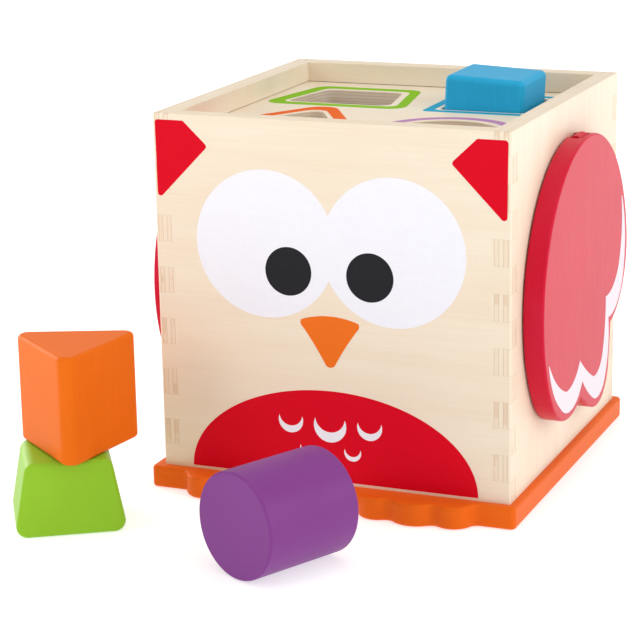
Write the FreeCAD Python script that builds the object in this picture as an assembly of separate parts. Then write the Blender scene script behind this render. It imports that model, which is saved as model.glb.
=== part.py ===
import FreeCAD, Part
import math
import os

# Wooden owl shape sorter: a finger-jointed plywood box with a sorting panel sunk under its rim,
# an orange base plate with two clawed feet, a lift-up wing over the round hole in each side, and
# four loose blocks. Millimetres. The origin is the centre of the base plate's underside, the face
# looks along -Y, +X is the side on the right of a person who looks at the face, and +Z is up.

# ---------------------------------------------------------------- driving dimensions

BOX = 150.0                 # outer width and depth of the box
WALL = 8.0                  # plywood walls
WALL_HEIGHT = 147.5         # the walls stand on the base plate
BASE = 9.2                  # thickness of the base plate
BASE_OVERHANG = 3.8         # base plate past the walls, before the shift
BASE_SHIFT = -0.8           # the base plate is screwed on this far off centre, along X
FINGER = 10.75              # height of a corner finger
FINGERS = 14                # fingers up one corner, shared by the two walls
OUTER_EDGE = 0.8            # rounding of the box's upright corners
RIM_EDGE = 0.5              # rounding along the rim

SORTER = 6.0                # thickness of the sorting panel
SORTER_DROP = 9.0           # its top lies this far under the rim
GROOVE = 3.0                # depth of the groove that holds it in the walls
GROOVE_SLACK = 0.25         # air in the groove, above the panel
HOLE_CLEARANCE = 1.5        # hole past its block on every side
HOLE_EDGE = 0.4             # rounding of the hole's upper edge

DOOR_RADIUS = 38.0          # round hole in each side wall, where blocks come out
DOOR_Y = -2.0
DOOR_Z = 84.7
DOOR_EDGE = 1.0

WING = 8.5                  # thickness of a wing
WING_GAP = 0.5              # air between a closed wing and its wall
WING_RADIUS = 62.0          # the wing's large round outline
WING_Z = 80.7               # height of that circle's centre
FEATHER_RADIUS = 31.0       # the front and the rear feather touch the large circle from inside
MIDDLE_FEATHER = 17.6       # radius at the tip of the middle feather
NOTCH_BLEND = 0.8           # rounding at the bottom of the notches between feathers
WING_EDGE = 1.0             # rounding of the wing's edges

PIVOT_OUT = 4.3             # hinge axis to the face of the wall
PIVOT_Z = 140.2
LUG_RADIUS = 3.0            # rounded head of the hinge lug
LUG_WIDTH = 10.0
LUG_NECK = 0.8              # the neck's top above the hinge axis
LUG_TENON = 5.0             # how far the lug is let into the wall
SLOT_GAP = 0.8              # air on each side of the lug
HEAD_GAP = 0.4              # air round its head
PIN_RADIUS = 1.0
PIN_LENGTH = 21.0
PIN_CLEARANCE = 0.06        # radial, in the lug

SQUARE = 34.5               # the square block is a cube
SQUARE_EDGE = 2.5
SQUARE_PROUD = 13.8         # the middle of its top is this far over the sorting panel
TRIANGLE_SIDE = 52.5        # measured to the sharp corners
TRIANGLE_LENGTH = 43.5
TRAPEZOID_WIDE = 44.6
TRAPEZOID_NARROW = 33.4
TRAPEZOID_DEPTH = 30.5
TRAPEZOID_LENGTH = 34.0
PRISM_CORNER = 4.5          # rounding of the long edges of the two prisms
PRISM_END = 1.8             # rounding round their ends
ROUND_RADIUS = 20.9
ROUND_LENGTH = 43.6
ROUND_EDGE = 1.0

SCREW_SHANK = 1.5           # wood screws, 3 mm shank, countersunk
SCREW_HEAD = 3.2
SCREW_LENGTH = 25.0
SCREW_SINK = 0.6            # head below the underside
SCREW_SPREAD = 45.0         # screws stand at this distance each side of a wall's middle

# ---------------------------------------------------------------- worked-out sizes

HALF = BOX / 2
INNER = HALF - WALL
RIM_Z = BASE + WALL_HEIGHT
SORTER_TOP = RIM_Z - SORTER_DROP
SORTER_BOTTOM = SORTER_TOP - SORTER
END_FINGER = (WALL_HEIGHT - FINGER * (FINGERS - 2)) / 2
WING_BACK = HALF + WING_GAP
WING_FACE = WING_BACK + WING
PIVOT_X = HALF + PIVOT_OUT

SQUARE_AT = (33.7, 32.0)                # middles of the four holes
TRAPEZOID_AT = (-32.5, 32.2)
TRIANGLE_AT = (-33.0, -33.6)
ROUND_AT = (33.0, -31.5)


def vec(x, y, z=0.0):
    return FreeCAD.Vector(x, y, z)


def box(low, high):
    size = [b - a for a, b in zip(low, high)]
    return Part.makeBox(*size, vec(*low))


def join(solids):
    """One clean solid from several that touch or overlap."""
    return solids[0].multiFuse(solids[1:]).removeSplitter()


def eased(solid, radius, wanted):
    """Round the edges whose box of extremes passes the test."""
    edges = [edge for edge in solid.Edges if wanted(edge.BoundBox)]
    return solid.makeFillet(radius, edges)


def rounded_face(corners, radius, z=0.0):
    """A flat polygon in the XY plane whose corners are arcs of one radius."""
    edges = []
    count = len(corners)
    starts = []
    ends = []
    mids = []
    for i, corner in enumerate(corners):
        here = vec(*corner)
        back = (vec(*corners[i - 1]) - here).normalize()
        ahead = (vec(*corners[(i + 1) % count]) - here).normalize()
        half_angle = back.getAngle(ahead) / 2
        inward = (back + ahead).normalize()
        run = radius / math.tan(half_angle)
        starts.append(here + back * run)
        ends.append(here + ahead * run)
        mids.append(here + inward * (radius / math.sin(half_angle) - radius))
    for i in range(count):
        edges.append(Part.Arc(starts[i], mids[i], ends[i]).toShape())
        edges.append(Part.LineSegment(ends[i], starts[(i + 1) % count]).toShape())
    face = Part.Face(Part.Wire(edges))
    face.translate(vec(0, 0, z))
    return face


def blended(face, radius):
    """Turn the inward corners of an outline into arcs of the given radius."""
    return face.makeOffset2D(radius).Faces[0].makeOffset2D(-radius).Faces[0]


def rectangle(width, depth):
    return [(-width / 2, -depth / 2), (width / 2, -depth / 2),
            (width / 2, depth / 2), (-width / 2, depth / 2)]


def triangle(side):
    """Equal sides, middle at the origin, one corner towards +Y."""
    reach = side / math.sqrt(3)
    turns = [math.radians(90 + 120 * i) for i in range(3)]
    return [(reach * math.cos(t), reach * math.sin(t)) for t in turns]


def trapezoid(wide, narrow, depth):
    """Wide side towards -Y."""
    return [(-wide / 2, -depth / 2), (wide / 2, -depth / 2),
            (narrow / 2, depth / 2), (-narrow / 2, depth / 2)]


# ---------------------------------------------------------------- box

def finger_levels():
    """Heights of the finger boundaries, from the rim down to the base plate."""
    levels = [RIM_Z, RIM_Z - END_FINGER]
    for _ in range(FINGERS - 2):
        levels.append(levels[-1] - FINGER)
    levels.append(BASE)
    return levels


def corner_fingers(first):
    """Every second finger of all four corners, counted from the rim."""
    levels = finger_levels()
    pieces = []
    for i in range(first, FINGERS, 2):
        for x in (-HALF, INNER):
            for y in (-HALF, INNER):
                pieces.append(box((x, y, levels[i + 1]), (x + WALL, y + WALL, levels[i])))
    return pieces


def shell():
    """The four walls as one eased tube, from which each wall is taken."""
    outside = box((-HALF, -HALF, BASE), (HALF, HALF, RIM_Z))
    tube = outside.cut(box((-INNER, -INNER, BASE - 1), (INNER, INNER, RIM_Z + 1)))
    tube = eased(tube, OUTER_EDGE, lambda b: b.ZLength > BOX / 2 and abs(b.XMin) > INNER + 1)
    return eased(tube, RIM_EDGE, lambda b: b.ZMin > RIM_Z - 0.01)


def wall(tube, slab, first_finger, end_test):
    """One wall: its slab between the corners, and its fingers at both ends."""
    fingers = [f for f in corner_fingers(first_finger) if end_test(f.BoundBox.Center)]
    blank = tube.common(join([slab] + fingers))
    reach = INNER + GROOVE
    groove_top = SORTER_TOP + GROOVE_SLACK
    return blank.cut(box((-reach, -reach, SORTER_BOTTOM), (reach, reach, groove_top)))


def front_and_back(tube):
    front = wall(tube, box((-INNER, -HALF, BASE), (INNER, -INNER, RIM_Z)), 1, lambda c: c.y < 0)
    back = wall(tube, box((-INNER, INNER, BASE), (INNER, HALF, RIM_Z)), 1, lambda c: c.y > 0)
    return front, back


def right_side(tube):
    """Side wall with the round door and the mortise of the hinge lug."""
    panel = wall(tube, box((INNER, -INNER, BASE), (HALF, INNER, RIM_Z)), 0, lambda c: c.x > 0)
    door = Part.makeCylinder(DOOR_RADIUS, WALL + 2, vec(INNER - 1, DOOR_Y, DOOR_Z), vec(1, 0, 0))
    panel = panel.cut(door)
    span = 2 * DOOR_RADIUS
    panel = eased(panel, DOOR_EDGE, lambda b: abs(b.ZLength - span) < 0.1 and b.XLength < 0.1)
    return panel.cut(lug_tenon())


def sorter_panel():
    reach = INNER + GROOVE
    panel = box((-reach, -reach, SORTER_BOTTOM), (reach, reach, SORTER_TOP))
    grow = HOLE_CLEARANCE
    lean = math.atan2((TRAPEZOID_WIDE - TRAPEZOID_NARROW) / 2, TRAPEZOID_DEPTH)
    side_grow = grow / math.cos(lean)
    tilt_grow = grow * math.tan(lean)
    wide = TRAPEZOID_WIDE + 2 * side_grow + 2 * tilt_grow
    narrow = TRAPEZOID_NARROW + 2 * side_grow - 2 * tilt_grow
    outlines = [
        (rectangle(SQUARE + 2 * grow, SQUARE + 2 * grow), SQUARE_EDGE + grow / 2, SQUARE_AT),
        (trapezoid(wide, narrow, TRAPEZOID_DEPTH + 2 * grow), PRISM_CORNER, TRAPEZOID_AT),
        (triangle(TRIANGLE_SIDE + 2 * math.sqrt(3) * grow), PRISM_CORNER, TRIANGLE_AT),
    ]
    cutters = []
    for corners, radius, at in outlines:
        face = rounded_face(corners, radius, SORTER_BOTTOM - 1)
        face.translate(vec(*at))
        cutters.append(face.extrude(vec(0, 0, SORTER + 2)))
    cutters.append(Part.makeCylinder(ROUND_RADIUS + grow, SORTER + 2,
                                     vec(*ROUND_AT, SORTER_BOTTOM - 1)))
    for cutter in cutters:
        panel = panel.cut(cutter)
    return eased(panel, HOLE_EDGE, lambda b: b.ZMin > SORTER_TOP - 0.01 and b.XMin > 1 - reach
                 and b.XMax < reach - 1)


# ---------------------------------------------------------------- base plate and screws

FOOT_X = 37.7               # middle of a foot each side of the centre line
MIDDLE_TOE = 12.0           # toe radii, and how far their middles lie behind the plate's edge
MIDDLE_TOE_IN = 2.4
SIDE_TOE = 8.6
SIDE_TOE_IN = 0.9
SIDE_TOE_APART = 15.8
TOE_BLEND = 3.5             # hollow curve between two toes
BASE_CORNER = 2.2
BASE_EDGE = 1.3


def toe(x, y, radius):
    return Part.Face(Part.Wire(Part.makeCircle(radius, vec(x, y))))


def base_plate():
    half = HALF + BASE_OVERHANG
    outline = rounded_face(rectangle(2 * half, 2 * half), BASE_CORNER)
    toes = []
    for side in (-1, 1):
        middle = side * FOOT_X
        toes.append(toe(middle, MIDDLE_TOE_IN - half, MIDDLE_TOE))
        toes.append(toe(middle - SIDE_TOE_APART, SIDE_TOE_IN - half, SIDE_TOE))
        toes.append(toe(middle + SIDE_TOE_APART, SIDE_TOE_IN - half, SIDE_TOE))
    outline = join([outline] + toes)
    plate = blended(outline.Faces[0], TOE_BLEND).extrude(vec(0, 0, BASE))
    plate.translate(vec(BASE_SHIFT, 0))
    return eased(plate, BASE_EDGE, lambda b: b.ZLength < 0.01)


def screw():
    """A countersunk wood screw, head down, its axis on Z."""
    head = SCREW_HEAD - SCREW_SHANK
    tip = SCREW_SINK + SCREW_LENGTH
    outline = [(0, SCREW_SINK), (SCREW_HEAD, SCREW_SINK), (SCREW_SHANK, SCREW_SINK + head),
               (SCREW_SHANK, tip - 2 * SCREW_SHANK), (0, tip), (0, SCREW_SINK)]
    wire = Part.makePolygon([vec(x, 0, z) for x, z in outline])
    return Part.Face(wire).revolve(vec(0, 0), vec(0, 0, 1), 360)


def cross_recess():
    """The crossed slots in a screw's head."""
    reach = 0.55 * SCREW_HEAD
    slot = 0.4
    low = SCREW_SINK - 1
    high = SCREW_SINK + 1
    return join([box((-reach, -slot, low), (reach, slot, high)),
                 box((-slot, -reach, low), (slot, reach, high))])


def screw_places():
    middle = HALF - WALL / 2
    places = []
    for along in (-SCREW_SPREAD, SCREW_SPREAD):
        for side in (-middle, middle):
            places.append((along, side))
            places.append((side, along))
    return places


def screws():
    solids = []
    for x, y in screw_places():
        one = screw().cut(cross_recess())
        one.translate(vec(x, y))
        solids.append(one)
    return solids


def screw_holes():
    """What the screws take out of the plate and the walls, with room under each head."""
    solids = []
    for x, y in screw_places():
        sink = Part.makeCylinder(SCREW_HEAD, SCREW_SINK + 0.01, vec(0, 0))
        hole = join([screw(), sink])
        hole.translate(vec(x, y))
        solids.append(hole)
    return solids


# ---------------------------------------------------------------- wings and hinges

def wing_point(y, z):
    return vec(WING_BACK, y, z)


def wing_arc(start, middle, end):
    return Part.Arc(wing_point(*start), wing_point(*middle), wing_point(*end)).toShape()


def on_circle(centre, radius, degrees):
    turn = math.radians(degrees)
    return (centre[0] + radius * math.cos(turn), centre[1] + radius * math.sin(turn))


def wing_outline():
    """A large disc whose lower rear edge is cut into three feathers."""
    disc = (0.0, WING_Z)
    inset = WING_RADIUS - FEATHER_RADIUS
    rear_turn = 8.9
    front_turn = 218.7
    rear = on_circle(disc, inset, rear_turn)
    front = on_circle(disc, inset, front_turn)
    middle = (17.0, 41.2)
    rear_notch = on_circle(rear, FEATHER_RADIUS, 281.3)
    front_notch = on_circle(front, FEATHER_RADIUS, 300.6)
    flank_start = on_circle(middle, MIDDLE_FEATHER, -3.0)
    flank_end = on_circle(middle, MIDDLE_FEATHER, 250.5)
    rear_touch = on_circle(disc, WING_RADIUS, rear_turn)
    front_touch = on_circle(disc, WING_RADIUS, front_turn)
    edges = [
        wing_arc(front_touch, on_circle(disc, WING_RADIUS, 100.0), rear_touch),
        wing_arc(rear_touch, on_circle(rear, FEATHER_RADIUS, -40.0), rear_notch),
        wing_arc(rear_notch, (35.9, 47.7), flank_start),
        wing_arc(flank_start, on_circle(middle, MIDDLE_FEATHER, -50.0), flank_end),
        wing_arc(flank_end, (1.0, 28.8), front_notch),
        wing_arc(front_notch, on_circle(front, FEATHER_RADIUS, 260.0), front_touch),
    ]
    return Part.Face(Part.Wire(edges))


def wing_blank():
    blank = blended(wing_outline(), NOTCH_BLEND).extrude(vec(WING, 0, 0))
    return eased(blank, WING_EDGE, lambda b: b.XLength < 0.01)


def along_pivot(radius, start, end):
    """A round bar on the hinge axis, from one Y to another."""
    return Part.makeCylinder(radius, end - start, vec(PIVOT_X, start, PIVOT_Z), vec(0, 1, 0))


def hinge_slot():
    """The pocket in the wing's back and top edge that the lug stands in."""
    reach = LUG_WIDTH / 2 + SLOT_GAP
    clear = LUG_RADIUS + HEAD_GAP
    low = WING_BACK - 1
    top = WING_Z + WING_RADIUS + 1
    return join([along_pivot(clear, -reach, reach),
                 box((low, -reach, PIVOT_Z - clear), (PIVOT_X, reach, PIVOT_Z)),
                 box((low, -reach, PIVOT_Z), (PIVOT_X + clear, reach, top))])


def pin_hole():
    return along_pivot(PIN_RADIUS, -PIN_LENGTH / 2, PIN_LENGTH * 1.5)


def right_wing():
    return wing_blank().cut(hinge_slot()).cut(pin_hole())


def pin_plug():
    """The dowel that closes the pin's hole, trimmed to the wing's edge."""
    return wing_blank().common(along_pivot(PIN_RADIUS, PIN_LENGTH / 2, PIN_LENGTH * 1.5))


def hinge_pin():
    return along_pivot(PIN_RADIUS, -PIN_LENGTH / 2, PIN_LENGTH / 2)


def lug_tenon():
    reach = LUG_WIDTH / 2
    return box((HALF - LUG_TENON, -reach, PIVOT_Z - LUG_RADIUS),
               (HALF, reach, PIVOT_Z + LUG_NECK))


def hinge_lug():
    """A block let into the wall, with a round head that the pin runs through."""
    reach = LUG_WIDTH / 2
    neck = box((HALF - LUG_TENON, -reach, PIVOT_Z - LUG_RADIUS),
               (PIVOT_X, reach, PIVOT_Z + LUG_NECK))
    head = along_pivot(LUG_RADIUS, -reach, reach)
    return join([neck, head]).cut(along_pivot(PIN_RADIUS + PIN_CLEARANCE, -reach - 1, reach + 1))


def mirrored(solid):
    """The same piece on the other side of the box."""
    return solid.mirror(vec(0, 0), vec(1, 0, 0))


# ---------------------------------------------------------------- loose blocks

SQUARE_PLACE = (33.4, 31.2, SORTER_TOP + SQUARE_PROUD - SQUARE / 2)
SQUARE_TURN = 0.4
SQUARE_LEAN = 2.8
TRAPEZOID_PLACE = (-92.2, -127.3, 0.0)
TRAPEZOID_TURN = 32.5
TRIANGLE_PLACE = (-89.1, -123.0, TRAPEZOID_DEPTH)
TRIANGLE_TURN = -157.6
ROUND_PLACE = (6.0, -142.3, ROUND_RADIUS)
ROUND_TURN = 64.3


def placed(solid, turn, place):
    solid.rotate(vec(0, 0), vec(0, 0, 1), turn)
    solid.translate(vec(*place))
    return solid


def prism(corners, radius, length):
    """An upright prism with rounded long edges and eased ends."""
    blank = rounded_face(corners, radius).extrude(vec(0, 0, length))
    return eased(blank, PRISM_END, lambda b: b.ZLength < 0.01)


def square_block():
    """Hangs half-way through its hole, a little askew."""
    half = SQUARE / 2
    cube = box((-half, -half, -half), (half, half, half))
    cube = cube.makeFillet(SQUARE_EDGE, cube.Edges)
    cube.rotate(vec(0, 0), vec(0, 1, 0), SQUARE_LEAN)
    return placed(cube, SQUARE_TURN, SQUARE_PLACE)


def triangle_block():
    """Stands on its end on top of the trapezoid block."""
    upright = prism(triangle(TRIANGLE_SIDE), PRISM_CORNER, TRIANGLE_LENGTH)
    return placed(upright, TRIANGLE_TURN, TRIANGLE_PLACE)


def trapezoid_block():
    """Lies on its wide side."""
    corners = trapezoid(TRAPEZOID_WIDE, TRAPEZOID_NARROW, TRAPEZOID_DEPTH)
    lying = prism(corners, PRISM_CORNER, TRAPEZOID_LENGTH)
    lying.translate(vec(0, TRAPEZOID_DEPTH / 2, -TRAPEZOID_LENGTH / 2))
    lying.rotate(vec(0, 0), vec(1, 0, 0), 90)
    return placed(lying, TRAPEZOID_TURN, TRAPEZOID_PLACE)


def round_block():
    """Lies on its side."""
    bar = Part.makeCylinder(ROUND_RADIUS, ROUND_LENGTH, vec(-ROUND_LENGTH / 2, 0), vec(1, 0, 0))
    bar = eased(bar, ROUND_EDGE, lambda b: b.XLength < 0.01)
    return placed(bar, ROUND_TURN, ROUND_PLACE)


# ---------------------------------------------------------------- assembly

def cut_all(solid, cutters):
    for cutter in cutters:
        solid = solid.cut(cutter)
    return solid


def build():
    tube = shell()
    holes = screw_holes()
    front, back = front_and_back(tube)
    right = right_side(tube)
    wing = right_wing()
    lug = hinge_lug()
    pin = hinge_pin()
    plug = pin_plug()
    return {
        "front_panel": cut_all(front, holes),
        "back_panel": cut_all(back, holes),
        "right_panel": cut_all(right, holes),
        "left_panel": cut_all(mirrored(right), holes),
        "sorter_panel": sorter_panel(),
        "base_plate": cut_all(base_plate(), holes),
        "base_screws": Part.makeCompound(screws()),
        "right_hinge_lug": lug,
        "left_hinge_lug": mirrored(lug),
        "right_wing": wing,
        "left_wing": mirrored(wing),
        "right_hinge_pin": pin,
        "left_hinge_pin": mirrored(pin),
        "right_pin_plug": plug,
        "left_pin_plug": mirrored(plug),
        "square_block": square_block(),
        "triangle_block": triangle_block(),
        "trapezoid_block": trapezoid_block(),
        "round_block": round_block(),
    }


os.makedirs("parts", exist_ok=True)
for name, shape in build().items():
    shape.exportStep(f"parts/{name}.step")
    print(f"{name:18s} valid {shape.isValid()} solids {len(shape.Solids)} {shape.Volume:10.1f} mm3")
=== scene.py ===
import bpy
import bmesh
import math
from mathutils import Matrix, Vector


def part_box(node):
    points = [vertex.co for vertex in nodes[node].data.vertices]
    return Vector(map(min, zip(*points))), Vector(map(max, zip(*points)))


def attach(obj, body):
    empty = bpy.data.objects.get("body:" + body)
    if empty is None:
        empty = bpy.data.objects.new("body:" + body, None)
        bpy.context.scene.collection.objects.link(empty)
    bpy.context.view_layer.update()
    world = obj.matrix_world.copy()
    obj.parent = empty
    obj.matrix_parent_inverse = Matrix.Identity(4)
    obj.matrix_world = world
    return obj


# Looks of the wooden owl shape sorter. Every wall, block, wing and fitting is a CAD node and keeps
# its shape. This script gives each one a wood, paint or steel finish, and adds what is printed:
# the owl's face and belly, the band on each wing and the rings round the holes. A print is a thin
# closed film of ink, and its outline is given in millimetres in the frame's own axes.

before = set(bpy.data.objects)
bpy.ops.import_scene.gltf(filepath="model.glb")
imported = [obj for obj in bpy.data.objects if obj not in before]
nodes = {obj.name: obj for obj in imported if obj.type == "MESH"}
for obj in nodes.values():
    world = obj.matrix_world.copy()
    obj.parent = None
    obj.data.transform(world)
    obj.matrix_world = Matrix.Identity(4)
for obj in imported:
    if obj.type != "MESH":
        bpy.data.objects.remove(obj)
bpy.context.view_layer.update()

MM = 0.001

# ---------------------------------------------------------------- places taken from the frame

FRONT_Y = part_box("front_panel")[0].y / MM
WING_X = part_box("right_wing")[1].x / MM
PANEL_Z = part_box("sorter_panel")[1].z / MM
RIM_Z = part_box("front_panel")[1].z / MM
BASE_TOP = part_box("front_panel")[0].z / MM
HALF = -FRONT_Y
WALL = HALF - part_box("back_panel")[0].y / MM

FINGER = 10.75              # height of a corner finger, as cut in the walls
FULL_FINGERS = 12           # between the shorter fingers at the base and at the rim

SQUARE_AT = (33.7, 32.0)    # middles of the rings round the four holes
TRIANGLE_AT = (-33.0, -33.6)
TRAPEZOID_AT = (-32.0, 32.2)
ROUND_AT = (33.0, -31.5)

# ---------------------------------------------------------------- colours (linear)

WOOD_PALE = (0.865, 0.770, 0.625)
WOOD_DEEP = (0.80, 0.605, 0.43)
WOOD_FLECK = (0.62, 0.43, 0.26)
GLUE_LINE = (0.50, 0.34, 0.20)
# pale tone the edges turn to: rubbed-through paint, and on the round block also a painted
# highlight
RAW_EDGE_AND_HIGHLIGHT = (0.95, 0.72, 0.46)

RED = (0.60, 0.001, 0.022)
ORANGE_STAIN = (0.82, 0.128, 0.003)
BLUE = (0.016, 0.38, 0.68)
ORANGE = (0.78, 0.142, 0.003)
GREEN = (0.27, 0.53, 0.022)
PURPLE = (0.205, 0.030, 0.240)
STEEL = (0.55, 0.56, 0.58)

RED_INK = (0.69, 0.001, 0.015)
WHITE_INK = (0.865, 0.865, 0.935)
WING_WHITE_INK = (0.80, 0.74, 0.80)
BLACK_INK = (0.014, 0.014, 0.018)
ORANGE_INK = (0.84, 0.165, 0.010)
GREEN_INK = (0.24, 0.52, 0.008)
BLUE_INK = (0.012, 0.37, 0.58)
RING_ORANGE_INK = (0.82, 0.125, 0.004)
PURPLE_INK = (0.48, 0.24, 0.47)


# ---------------------------------------------------------------- node graphs

class Finish:
    """The node graph of one material, with short calls that add a node and join it up."""

    def __init__(self, name):
        self.material = bpy.data.materials.new(name)
        self.material.use_nodes = True
        self.tree = self.material.node_tree
        self.shader = self.tree.nodes["Principled BSDF"]
        place = self.add("ShaderNodeTexCoord").outputs["Object"]
        self.place = self.add("ShaderNodeVectorMath", {0: place, "Scale": 1 / MM},
                              operation="SCALE").outputs[0]
        self.axes = self.add("ShaderNodeSeparateXYZ", {0: self.place}).outputs

    def add(self, kind, inputs=None, **settings):
        node = self.tree.nodes.new(kind)
        for key, value in settings.items():
            setattr(node, key, value)
        for key, value in (inputs or {}).items():
            self.feed(node.inputs[key], value)
        return node

    def feed(self, socket, value):
        if isinstance(value, bpy.types.NodeSocket):
            self.tree.links.new(value, socket)
        elif isinstance(value, tuple) and len(value) == 3 and socket.type == "RGBA":
            socket.default_value = (*value, 1.0)
        else:
            socket.default_value = value

    def maths(self, operation, first, second=0.0, third=0.0, clamp=False):
        inputs = {0: first, 1: second, 2: third}
        return self.add("ShaderNodeMath", inputs, operation=operation,
                        use_clamp=clamp).outputs[0]

    def spread(self, value, low, high, to_low=0.0, to_high=1.0, kind="LINEAR"):
        """Map a value between low and high on to another span, and hold it there."""
        inputs = {"Value": value, "From Min": low, "From Max": high,
                  "To Min": to_low, "To Max": to_high}
        return self.add("ShaderNodeMapRange", inputs, interpolation_type=kind).outputs["Result"]

    def mix(self, share, first, second):
        node = self.add("ShaderNodeMix", {"Factor": share}, data_type="RGBA")
        self.feed(node.inputs[6], first)
        self.feed(node.inputs[7], second)
        return node.outputs[2]

    def noise(self, stretch, detail=3.0, rough=0.55, warp=0.0, shift=0.0):
        """Noise whose waves per millimetre along X, Y and Z are the numbers in stretch."""
        place = self.add("ShaderNodeVectorMath", {0: self.place, 1: stretch},
                         operation="MULTIPLY").outputs[0]
        place = self.add("ShaderNodeVectorMath", {0: place, 1: (shift, 2 * shift, 3 * shift)},
                         operation="ADD").outputs[0]
        inputs = {"Vector": place, "Scale": 1.0, "Detail": detail, "Roughness": rough,
                  "Distortion": warp}
        return self.add("ShaderNodeTexNoise", inputs).outputs["Fac"]

    def line(self, value, at, half_width):
        """1 where the value is at a level, down to 0 half a width away."""
        away = self.maths("ABSOLUTE", self.maths("SUBTRACT", value, at))
        return self.spread(away, 0.0, half_width, 1.0, 0.0, "SMOOTHSTEP")

    def edges(self, radius):
        """1 along the piece's own edges, 0 on its flats."""
        rounded = self.add("ShaderNodeBevel", {"Radius": radius * MM}, samples=6)
        flat = self.add("ShaderNodeNewGeometry").outputs["Normal"]
        together = self.add("ShaderNodeVectorMath", {0: rounded.outputs[0], 1: flat},
                            operation="DOT_PRODUCT").outputs["Value"]
        return self.spread(together, 0.985, 0.80, 0.0, 1.0, "SMOOTHSTEP")

    def done(self, colour, roughness, height, depth, specular=0.5, metal=0.0,
             tint=(1.0, 1.0, 1.0)):
        bump = self.add("ShaderNodeBump", {"Height": height, "Strength": 1.0,
                                           "Distance": depth * MM})
        self.feed(self.shader.inputs["Base Color"], colour)
        self.feed(self.shader.inputs["Roughness"], roughness)
        self.feed(self.shader.inputs["Normal"], bump.outputs["Normal"])
        self.feed(self.shader.inputs["Specular IOR Level"], specular)
        self.feed(self.shader.inputs["Specular Tint"], tint)
        self.feed(self.shader.inputs["Metallic"], metal)
        return self.material


def stretched(along, across, axis):
    """Waves per millimetre: few along one axis, many across it."""
    waves = [across, across, across]
    waves[axis] = along
    return tuple(waves)


# ---------------------------------------------------------------- finishes

CORE_PLY = 0.117            # half the middle ply, as a share of the panel's thickness
SKIN_FROM = 0.35            # where the outer plies start, from the middle, as the same share
GLUE_HALF = 0.22            # half the width of a glue line between plies, in millimetres
SEAM_HALF = 0.14            # half the width of a seam between two fingers, in millimetres


def plywood(name, node, thick, grain, shift):
    """Five-ply birch under a thin satin lacquer. The plies lie across the panel's thickness, their
    grain turns by a right angle from ply to ply, and dark glue lines show on the cut edges. thick
    and grain are the axes of the panel's thickness and of its faces' grain."""
    low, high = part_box(node)
    middle = (low[thick] + high[thick]) / 2 / MM
    thickness = (high[thick] - low[thick]) / MM
    cross = 3 - thick - grain
    f = Finish(name)
    depth = f.maths("ABSOLUTE", f.maths("SUBTRACT", f.axes[thick], middle))
    core = CORE_PLY * thickness
    skin = SKIN_FROM * thickness
    crossed = f.maths("MULTIPLY", f.maths("GREATER_THAN", depth, core),
                      f.maths("LESS_THAN", depth, skin))
    glue = f.maths("MAXIMUM", f.line(depth, core, GLUE_HALF), f.line(depth, skin, GLUE_HALF))

    fibre_faces = f.noise(stretched(0.035, 1.5, grain), 4.0, 0.6, shift=shift)
    fibre_cross = f.noise(stretched(0.035, 1.5, cross), 4.0, 0.6, shift=shift + 3)
    fibre = f.add("ShaderNodeMix", {"Factor": crossed, "A": fibre_faces,
                                    "B": fibre_cross}).outputs[0]
    figure = f.noise(stretched(0.006, 0.075, grain), 2.0, 0.5, warp=0.9, shift=shift + 7)
    cloud = f.noise((0.012, 0.012, 0.012), 2.0, 0.5, shift=shift + 11)
    fleck = f.spread(f.noise(stretched(0.22, 2.2, grain), 1.0, 0.4, shift=shift + 5), 0.70, 0.80)

    tone = f.spread(fibre, 0.25, 0.75, -0.13, 0.15)
    tone = f.maths("ADD", tone, f.spread(figure, 0.3, 0.7, -0.12, 0.14))
    tone = f.maths("ADD", tone, f.spread(cloud, 0.3, 0.7, -0.06, 0.08))
    tone = f.maths("MULTIPLY_ADD", crossed, 0.20, tone)
    tone = f.maths("ADD", tone, 0.20, clamp=True)
    colour = f.mix(tone, WOOD_PALE, WOOD_DEEP)
    colour = f.mix(f.maths("MULTIPLY", fleck, 0.20), colour, WOOD_FLECK)
    colour = f.mix(f.maths("MULTIPLY", glue, 0.55), colour, GLUE_LINE)
    colour = f.mix(f.maths("MULTIPLY", finger_seams(f), 0.32), colour, GLUE_LINE)
    blotch = f.spread(f.noise((0.14, 0.14, 0.14), 2.0, 0.5, shift=shift + 15), 0.50, 0.62)
    stain = f.maths("MULTIPLY", f.maths("MULTIPLY", blotch, crossed), corner_square(f))
    colour = f.mix(f.maths("MULTIPLY", stain, 0.34), colour, WOOD_FLECK)

    rough = f.spread(fibre, 0.3, 0.7, 0.40, 0.54)
    height = f.maths("SUBTRACT", fibre, f.maths("MULTIPLY", fleck, 0.5))
    height = f.maths("SUBTRACT", height, f.maths("MULTIPLY", glue, 0.6))
    return f.done(colour, rough, height, 0.035, specular=0.35)


def corner_square(f):
    """1 in the four upright corners, where the walls' fingers meet."""
    past = [f.maths("GREATER_THAN", f.maths("ABSOLUTE", f.axes[k]), HALF - WALL) for k in (0, 1)]
    return f.maths("MULTIPLY", past[0], past[1])


def finger_seams(f):
    """Thin glue seams between the corner fingers, in the four corner squares only."""
    lowest = BASE_TOP + (RIM_Z - BASE_TOP - FULL_FINGERS * FINGER) / 2
    turns = f.maths("DIVIDE", f.maths("SUBTRACT", f.axes[2], lowest), FINGER)
    away = f.maths("ABSOLUTE", f.maths("SUBTRACT", turns, f.maths("ROUND", turns)))
    seam = f.spread(away, 0.0, SEAM_HALF / FINGER, 1.0, 0.0, "SMOOTHSTEP")
    return f.maths("MULTIPLY", seam, corner_square(f))


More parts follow.
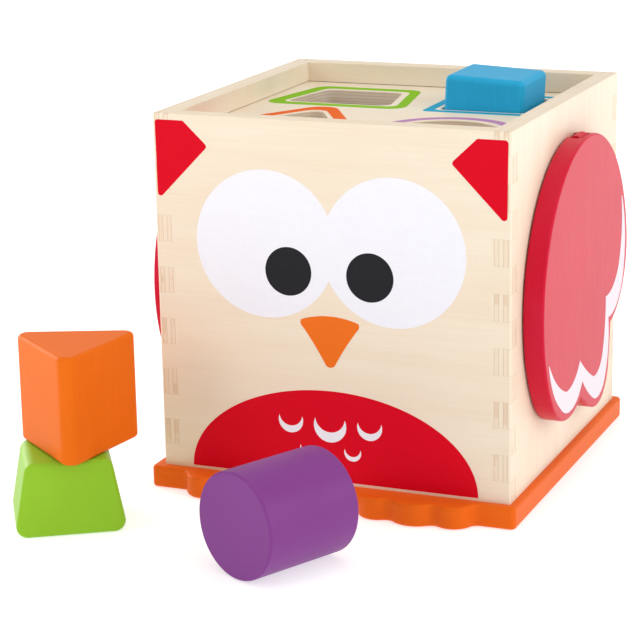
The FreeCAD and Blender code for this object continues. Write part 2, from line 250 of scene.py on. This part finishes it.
def painted(name, colour, grain, shift, rough=0.38, specular=0.10, edge_wear_and_highlight=0.14, streak=0.10,
            edge=0.9, sheen=(1.0, 1.0, 1.0)):
    """Sprayed colour on fine-grained wood: the grain shows through as faint streaks and pores, and
    the colour is rubbed thin along the edges. Where that pale edge is made strong, as on the round
    block, it is also a painted highlight."""
    f = Finish(name)
    light = tuple(min(1.0, c * 1.12 + 0.012) for c in colour)
    dark = tuple(c * 0.86 for c in colour)
    wear_and_highlight_tone = tuple(0.72 * c + 0.28 * w for c, w in zip(colour, RAW_EDGE_AND_HIGHLIGHT))
    fibre = f.noise(stretched(0.05, 1.1, grain), 4.0, 0.6, shift=shift)
    cloud = f.noise((0.035, 0.035, 0.035), 3.0, 0.5, shift=shift + 4)
    pore = f.spread(f.noise(stretched(0.25, 2.6, grain), 1.0, 0.4, shift=shift + 9), 0.68, 0.78)
    peel = f.noise((1.6, 1.6, 1.6), 2.0, 0.5, shift=shift + 2)
    tone = f.maths("ADD", f.spread(fibre, 0.25, 0.75, -streak, streak),
                   f.spread(cloud, 0.3, 0.7, 0.40, 0.60), clamp=True)
    surface = f.mix(tone, dark, light)
    surface = f.mix(f.maths("MULTIPLY", pore, 0.25), surface, dark)
    # Pale band along the edges: rubbed paint, and where its share is large, a painted highlight
    # too.
    wear_and_highlight_band = f.maths("MULTIPLY", f.edges(edge), f.spread(cloud, 0.35, 0.65, 0.4, 1.0))
    surface = f.mix(f.maths("MULTIPLY", wear_and_highlight_band, edge_wear_and_highlight), surface, wear_and_highlight_tone)
    roughness = f.maths("ADD", f.spread(fibre, 0.3, 0.7, rough - 0.04, rough + 0.05),
                        f.maths("MULTIPLY", wear_and_highlight_band, 0.10))
    height = f.maths("ADD", f.maths("MULTIPLY", peel, 0.35), f.maths("MULTIPLY", fibre, 0.65))
    height = f.maths("SUBTRACT", height, f.maths("MULTIPLY", pore, 0.5))
    return f.done(surface, roughness, height, 0.030, specular=specular, tint=sheen)


def printed(name, colour, grain, shift, specular=0.12):
    """Screen-printed ink: nearly even colour, faint mottling, and the wood's fibres under it."""
    f = Finish(name)
    fibre = f.noise(stretched(0.035, 1.5, grain), 4.0, 0.6, shift=shift)
    mottle = f.noise((0.5, 0.5, 0.5), 3.0, 0.6, shift=shift + 6)
    tone = f.maths("ADD", f.spread(fibre, 0.25, 0.75, -0.10, 0.10),
                   f.spread(mottle, 0.3, 0.7, 0.40, 0.60), clamp=True)
    dark = tuple(c * 0.93 for c in colour)
    light = tuple(min(1.0, c * 1.05 + 0.002) for c in colour)
    surface = f.mix(tone, dark, light)
    roughness = f.spread(fibre, 0.3, 0.7, 0.50, 0.61)
    return f.done(surface, roughness, fibre, 0.020, specular=specular)


def steel(name):
    """Zinc-plated steel, faintly brushed."""
    f = Finish(name)
    brushed = f.noise((3.0, 0.4, 3.0), 3.0, 0.6)
    blotch = f.noise((0.5, 0.5, 0.5), 2.0, 0.5, shift=5)
    surface = f.mix(f.spread(blotch, 0.3, 0.7), STEEL, tuple(c * 0.8 for c in STEEL))
    roughness = f.spread(brushed, 0.3, 0.7, 0.24, 0.40)
    return f.done(surface, roughness, brushed, 0.006, metal=1.0)


# ---------------------------------------------------------------- dress the CAD nodes

def dress(name, material):
    for place in nodes[name].material_slots:
        place.material = material


X, Y, Z = 0, 1, 2

dress("front_panel", plywood("ply_front", "front_panel", Y, X, 1))
dress("back_panel", plywood("ply_back", "back_panel", Y, X, 21))
dress("left_panel", plywood("ply_left", "left_panel", X, Z, 41))
dress("right_panel", plywood("ply_right", "right_panel", X, Z, 61))
dress("sorter_panel", plywood("ply_sorter", "sorter_panel", Z, X, 81))
dress("base_plate", painted("stain_base", ORANGE_STAIN, X, 11, rough=0.42, specular=0.12,
                             edge_wear_and_highlight=0.22, edge=1.4, sheen=(1.0, 0.95, 0.45)))
for side, shift in (("left", 15), ("right", 35)):
    red = painted("paint_" + side + "_wing", RED, Z, shift, rough=0.34, specular=0.25,
                  sheen=(1.0, 0.52, 0.96))
    dress(side + "_wing", red)
    dress(side + "_hinge_lug", painted("paint_" + side + "_lug", RED, X, shift + 5))
    dress(side + "_pin_plug", painted("paint_" + side + "_plug", RED, Y, shift + 9))
dress("square_block", painted("paint_square", BLUE, Z, 51, rough=0.42, streak=0.22))
dress("triangle_block", painted("paint_triangle", ORANGE, Z, 71, specular=0.06, edge_wear_and_highlight=0.10,
                                sheen=(1.0, 0.95, 0.28)))
dress("trapezoid_block", painted("paint_trapezoid", GREEN, Y, 91, sheen=(1.0, 0.72, 0.85)))
# The round block's pale rim is partly a painted highlight, so its edge share is large.
dress("round_block", painted("paint_round", PURPLE, Y, 101, rough=0.46, specular=0.28,
                             edge_wear_and_highlight=0.30))
zinc = steel("zinc")
for name in ("base_screws", "left_hinge_pin", "right_hinge_pin"):
    dress(name, zinc)


# ---------------------------------------------------------------- outlines, in millimetres

ARC_STEPS = 16              # points along an arc that is given by three points
CORNER_STEPS = 8            # steps round a rounded corner


def arc(centre, radius, start, end, steps):
    """Points of a circle from one angle to another, in degrees, both ends included."""
    turns = [math.radians(start + (end - start) * i / steps) for i in range(steps + 1)]
    return [(centre[0] + radius * math.cos(t), centre[1] + radius * math.sin(t)) for t in turns]


def circle(centre, radius, steps):
    return arc(centre, radius, 0, 360, steps)[:-1]


def arc_through(start, middle, end):
    """Points of the arc through three points. The last one is left for what follows."""
    (ax, ay), (bx, by), (cx, cy) = start, middle, end
    d = 2 * (ax * (by - cy) + bx * (cy - ay) + cx * (ay - by))
    a, b, c = (ax * ax + ay * ay, bx * bx + by * by, cx * cx + cy * cy)
    ux = (a * (by - cy) + b * (cy - ay) + c * (ay - by)) / d
    uy = (a * (cx - bx) + b * (ax - cx) + c * (bx - ax)) / d
    first = math.atan2(ay - uy, ax - ux)
    whole = math.atan2(cy - uy, cx - ux) - first
    turn = 2 * math.pi
    if d > 0:
        whole %= turn
    else:
        whole = -((-whole) % turn)
    radius = math.hypot(ax - ux, ay - uy)
    angles = [first + whole * i / ARC_STEPS for i in range(ARC_STEPS)]
    return [(ux + radius * math.cos(t), uy + radius * math.sin(t)) for t in angles]


def chain(start, arcs):
    """A closed outline of arcs. Each arc gives a point on its way and its end."""
    points = []
    for middle, end in arcs:
        points += arc_through(start, middle, end)
        start = end
    return points


def rounded(corners, radius):
    """A convex polygon, drawn anticlockwise, whose corners are arcs."""
    points = []
    count = len(corners)
    for i, corner in enumerate(corners):
        here = Vector(corner)
        back = (Vector(corners[i - 1]) - here).normalized()
        ahead = (Vector(corners[(i + 1) % count]) - here).normalized()
        half_angle = back.angle(ahead) / 2
        centre = here + (back + ahead).normalized() * (radius / math.sin(half_angle))
        start = math.degrees(math.atan2(back.x, -back.y))
        sweep = 180 - math.degrees(2 * half_angle)
        points += arc(centre, radius, start, start + sweep, CORNER_STEPS)
    return points


def grown(corners, by):
    """The corners of a convex polygon, drawn anticlockwise, moved out from every side."""
    grown_corners = []
    count = len(corners)
    for i, corner in enumerate(corners):
        here = Vector(corner)
        back = (here - Vector(corners[i - 1])).normalized()
        ahead = (Vector(corners[(i + 1) % count]) - here).normalized()
        out_back = Vector((back.y, -back.x))
        out_ahead = Vector((ahead.y, -ahead.x))
        both = out_back + out_ahead
        grown_corners.append(tuple(here + both * (by / (1 + out_back.dot(out_ahead)))))
    return grown_corners


def moved(points, x, y):
    return [(px + x, py + y) for px, py in points]


def mirrored(points):
    return [(-x, y) for x, y in reversed(points)]


# ---------------------------------------------------------------- films of ink

INK_PROUD = 0.06
INK_SUNK = 0.03


def on_front(u, v, out):
    return (u, FRONT_Y - out, v)


def on_panel(u, v, out):
    return (u, v, PANEL_Z + out)


def on_right_wing(u, v, out):
    return (WING_X + out, u, v)


def on_left_wing(u, v, out):
    return (-WING_X - out, u, v)


def film(name, outline, place, body, material, hole=None, lift=0.0):
    """A closed film of ink. With a hole, both outlines have the same number of points."""
    mesh = bmesh.new()
    loops = []
    for loop in [outline] + ([hole] if hole else []):
        for out in (INK_PROUD + lift, -INK_SUNK):
            loops.append([mesh.verts.new(Vector(place(u, v, out)) * MM) for u, v in loop])
    if hole:
        pairs = [(0, 1), (1, 3), (3, 2), (2, 0)]
    else:
        pairs = [(0, 1)]
        mesh.faces.new(loops[0])
        mesh.faces.new(list(reversed(loops[1])))
    count = len(outline)
    for one, other in pairs:
        for i in range(count):
            j = (i + 1) % count
            mesh.faces.new((loops[one][i], loops[one][j], loops[other][j], loops[other][i]))
    bmesh.ops.recalc_face_normals(mesh, faces=mesh.faces)
    data = bpy.data.meshes.new(name)
    mesh.to_mesh(data)
    mesh.free()
    piece = bpy.data.objects.new(name, data)
    bpy.context.scene.collection.objects.link(piece)
    data.materials.append(material)
    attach(piece, body)
    return piece


red_ink = printed("ink_red", RED_INK, X, 1, specular=0.06)
white_ink = printed("ink_white", WHITE_INK, X, 1, specular=0.35)
black_ink = printed("ink_black", BLACK_INK, X, 1)
orange_ink = printed("ink_orange", ORANGE_INK, X, 1)
green_ink = printed("ink_green", GREEN_INK, X, 81, specular=0.04)
blue_ink = printed("ink_blue", BLUE_INK, X, 81, specular=0.04)
purple_ink = printed("ink_purple", PURPLE_INK, X, 81, specular=0.04)
ring_orange_ink = printed("ink_ring_orange", RING_ORANGE_INK, X, 81, specular=0.04)
wing_ink = printed("ink_wing", WING_WHITE_INK, Z, 35, specular=0.25)


def print_face():
    """Ears, eyes, pupils and beak. The left ear is printed a little higher and farther out."""
    ear = rounded([(73.4, 120.6), (73.7, 153.4), (61.4, 153.4), (50.9, 143.5)], 1.3)
    film("print_right_ear", ear, on_front, "box", red_ink)
    film("print_left_ear", mirrored(moved(ear, 0.2, 0.7)), on_front, "box", red_ink)

    eye_x, eye_z, eye = 27.0, 106.4, 30.0
    meet = math.degrees(math.acos(eye_x / eye))
    both = arc((eye_x, eye_z), eye, meet - 180, 180 - meet, 64)
    both += arc((-eye_x, eye_z), eye, meet, 360 - meet, 64)[1:-1]
    film("print_eyes", both, on_front, "box", white_ink)

    pupil_x, pupil_z, pupil = 17.3, 96.0, 9.9
    for side, name in ((1, "print_right_pupil"), (-1, "print_left_pupil")):
        disc = circle((side * pupil_x, pupil_z), pupil, 64)
        film(name, disc, on_front, "box", black_ink, lift=0.03)

    beak = chain((-12.2, 76.9), [
        ((-12.5, 75.6), (-11.6, 73.9)),
        ((-6.6, 66.7), (-1.9, 58.7)),
        ((0.0, 57.9), (1.9, 58.7)),
        ((6.6, 66.7), (11.6, 73.9)),
        ((12.5, 75.6), (12.2, 76.9)),
        ((0.0, 79.0), (-12.2, 76.9)),
    ])
    film("print_beak", beak, on_front, "box", orange_ink)


def crescent(middle, half_width, tips, outer, inner):
    left = (middle - half_width, tips)
    right = (middle + half_width, tips)
    return chain(left, [((middle, outer), right), ((middle, inner), left)])


def print_belly():
    """A red half ellipse with two rows of white crescents for its down, a little off centre."""
    wide, high, foot = 61.8, 37.7, BASE_TOP + 1.2
    turns = [math.pi * i / 96 for i in range(97)]
    belly = [(wide * math.cos(t), foot + high * math.sin(t)) for t in turns]
    film("print_belly", belly, on_front, "box", red_ink)
    middle = -0.6
    downs = [
        crescent(middle, 6.4, 36.5, 26.6, 30.8),
        crescent(middle - 17.0, 5.0, 36.3, 29.1, 32.0),
        crescent(middle + 17.0, 5.0, 36.3, 29.1, 32.0),
        crescent(middle - 9.6, 3.35, 24.6, 19.6, 21.5),
        crescent(middle + 9.6, 3.35, 24.6, 19.6, 21.5),
    ]
    for i, down in enumerate(downs):
        film(f"print_down_{i + 1}", down, on_front, "box", white_ink, lift=0.03)


def print_wing_bands():
    """The white band that follows the three feathers on each wing's face."""
    band = chain((50.8, 106.9), [
        ((52.1, 93.7), (47.9, 78.0)),
        ((40.6, 71.3), (27.9, 68.8)),
        ((27.2, 57.2), (24.6, 46.9)),
        ((19.0, 39.8), (10.1, 38.5)),
        ((-0.3, 43.9), (-10.4, 51.0)),
        ((-19.5, 44.5), (-30.0, 43.2)),
        ((-42.6, 49.6), (-54.1, 60.8)),
        ((-54.35, 60.6), (-54.5, 60.3)),
        ((-48.9, 48.7), (-38.2, 38.6)),
        ((-22.6, 33.3), (-6.6, 41.1)),
        ((1.0, 34.6), (9.0, 29.6)),
        ((18.9, 27.6), (26.7, 31.3)),
        ((32.5, 43.7), (32.3, 58.5)),
        ((47.3, 62.3), (56.3, 76.3)),
        ((57.3, 91.7), (51.8, 106.9)),
        ((51.3, 107.6), (50.8, 106.9)),
    ])
    film("print_right_wing_band", band, on_right_wing, "right_wing", wing_ink)
    film("print_left_wing_band", band, on_left_wing, "left_wing", wing_ink)


BARE = 2.0                  # bare wood between a hole and its ring


def ring(name, corners, at, width, inner_corner, outer_corner, ink, off=0.0):
    """A band of ink round a hole, a little way out from the hole's edge. Its bare middle can be
    printed a little off centre, along X."""
    inner = rounded(grown(corners, BARE), inner_corner)
    outer = rounded(grown(corners, BARE + width), outer_corner)
    film(name, moved(outer, *at), on_panel, "box", ink,
         hole=moved(inner, at[0] + off, at[1]))


def print_rings():
    """A coloured ring round each hole."""
    reach = 18.75           # half the square hole
    square = [(-reach, -reach), (reach, -reach), (reach, reach), (-reach, reach)]
    ring("print_square_ring", square, SQUARE_AT, 4.0, 3.0, 2.5, blue_ink)
    far = 32.9              # from the middle to a sharp corner
    triangle = [(far * math.cos(math.radians(t)), far * math.sin(math.radians(t)))
                for t in (90, 210, 330)]
    ring("print_triangle_ring", triangle, TRIANGLE_AT, 5.2, 6.0, 8.0,
         ring_orange_ink)
    # the trapezoid block's own outline, grown to its hole
    trapezoid = grown([(-22.3, -15.25), (22.3, -15.25), (16.7, 15.25), (-16.7, 15.25)], 1.5)
    ring("print_trapezoid_ring", trapezoid, TRAPEZOID_AT, 5.3, 4.0, 7.0,
         green_ink, off=0.8)
    hole = 22.4             # radius
    radius = hole + BARE
    film("print_round_ring", circle(ROUND_AT, radius + 4.5, 96), on_panel, "box",
         purple_ink, hole=circle(ROUND_AT, radius, 96))


print_face()
print_belly()
print_wing_bands()
print_rings()


# ---------------------------------------------------------------- floor, light and camera

FLOOR_RADIUS = 30.0         # metres, far enough for its edge to stay out of sight


def floor():
    """A pale studio floor. It glows a little, so that it stays as bright as a paper sweep."""
    mesh = bmesh.new()
    bmesh.ops.create_circle(mesh, cap_ends=True, segments=96, radius=FLOOR_RADIUS)
    data = bpy.data.meshes.new("floor")
    mesh.to_mesh(data)
    mesh.free()
    sweep = bpy.data.objects.new("floor", data)
    sweep.location.z = -0.2 * MM
    bpy.context.scene.collection.objects.link(sweep)
    f = Finish("paper")
    tooth = f.noise((0.8, 0.8, 0.8), 3.0, 0.6)
    surface = f.mix(tooth, (0.60, 0.60, 0.60), (0.64, 0.64, 0.64))
    f.done(surface, f.spread(tooth, 0.3, 0.7, 0.85, 0.95), tooth, 0.02, specular=0.0)
    away = f.add("ShaderNodeVectorMath", {0: f.place}, operation="LENGTH").outputs["Value"]
    f.feed(f.shader.inputs["Emission Color"], (1.0, 1.0, 1.0))
    f.feed(f.shader.inputs["Emission Strength"], f.spread(away, 150, 650, 0.58, 0.85))
    data.materials.append(f.material)


def softbox(name, azimuth, elevation, distance, side, power, tint=(1.0, 1.0, 1.0)):
    """A square soft light that looks at the box. Azimuth 0 stands in front of the face."""
    target = Vector((0, 0, 0.07))
    a, e = math.radians(azimuth), math.radians(elevation)
    out = Vector((math.sin(a) * math.cos(e), -math.cos(a) * math.cos(e), math.sin(e)))
    light = bpy.data.lights.new(name, "AREA")
    light.shape = "SQUARE"
    light.size = side
    light.energy = power
    light.color = tint
    lamp = bpy.data.objects.new(name, light)
    lamp.location = target + out * distance
    lamp.rotation_mode = "QUATERNION"
    lamp.rotation_quaternion = (-out).to_track_quat("-Z", "Y")
    bpy.context.scene.collection.objects.link(lamp)


def studio():
    world = bpy.data.worlds.new("studio")
    world.use_nodes = True
    tree = world.node_tree
    tent = tree.nodes["Background"]
    tent.inputs["Color"].default_value = (1.0, 1.0, 1.0, 1.0)
    where = tree.nodes.new("ShaderNodeTexCoord")
    axes = tree.nodes.new("ShaderNodeSeparateXYZ")
    level = tree.nodes.new("ShaderNodeMapRange")
    level.inputs["From Min"].default_value = -0.5
    level.inputs["From Max"].default_value = 0.7
    level.inputs["To Min"].default_value = 0.42
    level.inputs["To Max"].default_value = 0.82
    tree.links.new(where.outputs["Generated"], axes.inputs[0])
    tree.links.new(axes.outputs["Y"], level.inputs["Value"])
    tree.links.new(level.outputs["Result"], tent.inputs["Strength"])
    scene = bpy.context.scene
    scene.world = world
    scene.view_settings.view_transform = "Standard"
    softbox("key", azimuth=-33, elevation=20, distance=1.0, side=0.4, power=1.8)
    softbox("left", azimuth=-105, elevation=12, distance=1.0, side=0.5, power=4.6)
    softbox("right", azimuth=80, elevation=25, distance=1.2, side=0.8, power=4.5)
    softbox("top", azimuth=20, elevation=72, distance=1.3, side=1.2, power=5.0,
            tint=(1.0, 0.95, 0.82))


def camera():
    stand = (0.32612, -0.86148, 0.30810)
    yaw, pitch, roll = (math.radians(t) for t in (22.776, 15.147, -1.097))
    data = bpy.data.cameras.new("camera")
    data.sensor_width = 36.0
    data.lens = 125.61
    data.clip_start = 0.01
    data.clip_end = 50.0
    view = bpy.data.objects.new("camera", data)
    turn = Matrix.Rotation(yaw, 4, "Z") @ Matrix.Rotation(math.pi / 2 - pitch, 4, "X")
    turn = turn @ Matrix.Rotation(roll, 4, "Z")
    view.matrix_world = Matrix.Translation(stand) @ turn
    bpy.context.scene.collection.objects.link(view)
    bpy.context.scene.camera = view


floor()
studio()
camera()
